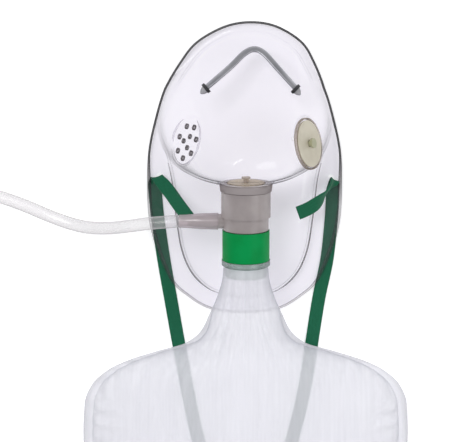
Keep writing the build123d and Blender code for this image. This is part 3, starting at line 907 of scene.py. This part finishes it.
def solid_material(name, low, high, rough=0.4, scale=120.0, metal=0.0, bump=0.12, specular=0.5,
                   through_light=0.0):
    """Moulded plastic, rubber or metal with slight drift in its tone."""
    material, tree = material_nodes(name)
    output = node(tree, "ShaderNodeOutputMaterial")
    shader = node(tree, "ShaderNodeBsdfPrincipled")
    shader.inputs["Roughness"].default_value = rough
    shader.inputs["Metallic"].default_value = metal
    shader.inputs["Specular IOR Level"].default_value = specular
    tree.links.new(mottled(tree, low, high, scale), shader.inputs["Base Color"])
    tree.links.new(soft_bump(tree, 300.0, bump), shader.inputs["Normal"])
    if not through_light:
        tree.links.new(shader.outputs[0], output.inputs["Surface"])
        return material
    clear = node(tree, "ShaderNodeBsdfTransparent")
    clear.inputs["Color"].default_value = (0.95, 0.95, 0.95, 1)
    facing = node(tree, "ShaderNodeLayerWeight")
    facing.inputs["Blend"].default_value = 0.5
    face_on = math_node(tree, "SUBTRACT", 1.0, facing.outputs["Facing"])
    open_share = math_node(tree, "MULTIPLY", face_on, through_light)
    mixed = node(tree, "ShaderNodeMixShader")
    tree.links.new(open_share, mixed.inputs[0])
    tree.links.new(shader.outputs[0], mixed.inputs[1])
    tree.links.new(clear.outputs[0], mixed.inputs[2])
    tree.links.new(mixed.outputs[0], output.inputs["Surface"])
    return material


def elastic_material():
    """Knitted elastic: covered cords lengthwise, with fine rows of yarn across them."""
    material, tree = material_nodes("green_elastic")
    output = node(tree, "ShaderNodeOutputMaterial")
    shader = node(tree, "ShaderNodeBsdfPrincipled")
    shader.inputs["Roughness"].default_value = 0.75
    shader.inputs["Sheen Weight"].default_value = 0.15
    shader.inputs["Specular IOR Level"].default_value = 0.3
    place = node(tree, "ShaderNodeUVMap", uv_map="band")
    split = node(tree, "ShaderNodeSeparateXYZ")
    tree.links.new(place.outputs[0], split.inputs[0])
    rows = math_node(tree, "SINE", math_node(tree, "MULTIPLY", split.outputs[0], 2 * math.pi / 0.9))
    cords = math_node(tree, "SINE", math_node(tree, "MULTIPLY", split.outputs[1], 2 * math.pi / 0.89))
    crossed = math_node(tree, "MULTIPLY", rows, cords)
    knit = math_node(tree, "ADD", math_node(tree, "MULTIPLY", crossed, 0.5), 0.5)
    ramp = node(tree, "ShaderNodeValToRGB")
    ramp.color_ramp.elements[0].color = (0.001, 0.08, 0.036, 1)
    ramp.color_ramp.elements[1].color = (0.005, 0.175, 0.08, 1)
    tree.links.new(knit, ramp.inputs["Fac"])
    bump = node(tree, "ShaderNodeBump")
    bump.inputs["Strength"].default_value = 0.6
    bump.inputs["Distance"].default_value = 0.0002
    tree.links.new(knit, bump.inputs["Height"])
    tree.links.new(ramp.outputs["Color"], shader.inputs["Base Color"])
    tree.links.new(bump.outputs["Normal"], shader.inputs["Normal"])
    tree.links.new(shader.outputs[0], output.inputs["Surface"])
    return material


def dress(piece, material):
    if not piece.material_slots:
        piece.data.materials.append(material)
    for place in piece.material_slots:
        place.material = material


add_camera()
add_lights()
add_floor()
# Each clear material below mixes a darker colour in as painted shade where its surface is seen edge on.
clear_pvc = clear_material("clear_pvc", 0.012, (0.93, 0.922, 0.943), (0.8, 0.79, 0.84),
                           edge=0.8, edge_power=6.0, dark=(0.07, 0.07, 0.075), gloss=0.7)
boss_pvc = clear_material("boss_pvc", 0.7, (0.85, 0.8, 0.8), (0.50, 0.45, 0.45),
                          edge=0.8, edge_power=2.5, dark=(0.12, 0.085, 0.09), gloss=0.4)
# Painted shade: the rim is mixed almost wholly to near black as the mask's dark outline, weaker towards the
# chin end.
rim_pvc = clear_material("rim_pvc", 0.05, (0.95, 0.94, 0.95), (0.5, 0.5, 0.51),
                         edge_power=0.12, dark=(0.006, 0.006, 0.009), gloss=0.1, fade=(0.084, 0.108, 0.22))
# Painted shade: the foot bead is mixed dark grey to draw the shade line along the foot of the chin bowl.
crease_shade_pvc = clear_material("crease_shade_pvc", 0.1, (0.8, 0.79, 0.8), (0.3, 0.29, 0.3),
                          edge_power=0.6, dark=(0.03, 0.028, 0.03), gloss=0.2)
# Painted shade: the vent's eyelets are near black to show the holes' shaded insides.
hole_shade_pvc = clear_material("hole_shade_pvc", 0.45, (0.85, 0.83, 0.84), (0.07, 0.055, 0.06),
                          edge_power=1.5, dark=(0.05, 0.04, 0.045))
valve_ring_pvc = clear_material("valve_ring_pvc", 0.3, (0.93, 0.9, 0.87), (0.46, 0.39, 0.3),
                                edge_power=2.0, dark=(0.14, 0.09, 0.06))
tube_pvc = clear_material("tube_pvc", 0.14, (0.95, 0.945, 0.95), (0.92, 0.9, 0.91),
                          edge_power=2.0, dark=(0.66, 0.64, 0.65))
cuff_pvc = clear_material("cuff_pvc", 0.35, (0.93, 0.9, 0.91), (0.78, 0.71, 0.73),
                          edge_power=2.0, dark=(0.4, 0.34, 0.36))
film_pvc = clear_material("bag_film", 0.36, (0.985, 0.985, 0.992), (0.95, 0.945, 0.995), edge=0.7,
                          edge_power=2.4, dark=(0.40, 0.41, 0.47), streak=0.28, rough=0.3, bump=0.05,
                          gloss=0.35)
sleeve_pvc = clear_material("sleeve_pvc", 0.35, (0.9, 0.95, 0.93), (0.5, 0.58, 0.56),
                            edge_power=2.5, dark=(0.2, 0.24, 0.23))
elastic_green = elastic_material()
silver = solid_material("aluminium", (0.36, 0.36, 0.39), (0.46, 0.46, 0.49), rough=0.35, metal=0.85)
# Painted shadow: near black for the mouths of the nose clip's slots.
slot_shadow_black = solid_material("slot_shadow_black", (0.02, 0.02, 0.024), (0.04, 0.04, 0.045), rough=0.4)
leaf_rubber = solid_material("leaf_rubber", (0.62, 0.57, 0.45), (0.72, 0.67, 0.54),
                             rough=0.5, through_light=0.2)
inlet_rubber = solid_material("inlet_rubber", (0.66, 0.55, 0.38), (0.76, 0.65, 0.47), rough=0.5)
# Painted shade: mid grey for the wedges of the nose clip's pockets.
pocket_shade_grey = solid_material("pocket_shade_grey", (0.38, 0.38, 0.40), (0.46, 0.46, 0.48),
                              rough=0.35, through_light=0.4)
seat_plastic = solid_material("seat_plastic", (0.50, 0.42, 0.33), (0.57, 0.49, 0.39), rough=0.4)
stud_plastic = solid_material("stud_plastic", (0.36, 0.36, 0.22), (0.45, 0.44, 0.29), rough=0.35)
mauve_plastic = solid_material("mauve_plastic", (0.43, 0.38, 0.378), (0.49, 0.437, 0.43),
                               rough=0.25, through_light=0.3)
green_plastic = solid_material("green_plastic", (0.0, 0.27, 0.06), (0.0, 0.31, 0.075),
                               rough=0.45, specular=0.1)

dress(oxygen_line(), tube_pvc)
dress(mask_body(), clear_pvc)
dress(port_boss(), boss_pvc)
dress(mask_rim(), rim_pvc)
dress(foot_line(), crease_shade_pvc)
dress(valve_rim(), valve_ring_pvc)
for piece in vent_eyelets():
    dress(piece, hole_shade_pvc)
dress(elastic(), elastic_green)
dress(nose_clip(), silver)
slot_shadows, ramps = clip_pockets()
for piece in slot_shadows:
    dress(piece, slot_shadow_black)
for piece in ramps:
    dress(piece, pocket_shade_grey)
dress(bag(), film_pvc)
CAD_LOOKS = {
    "swivel_connector": mauve_plastic, "inhalation_valve_seat": seat_plastic, "tube_cuff": cuff_pvc,
    "supply_connector": mauve_plastic, "green_collar": green_plastic, "bag_neck_sleeve": sleeve_pvc,
    "exhalation_valve_leaf": leaf_rubber, "exhalation_valve_stud": stud_plastic,
    "inhalation_valve_leaf": inlet_rubber,
}
for name, material in CAD_LOOKS.items():
    dress(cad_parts[name], material)
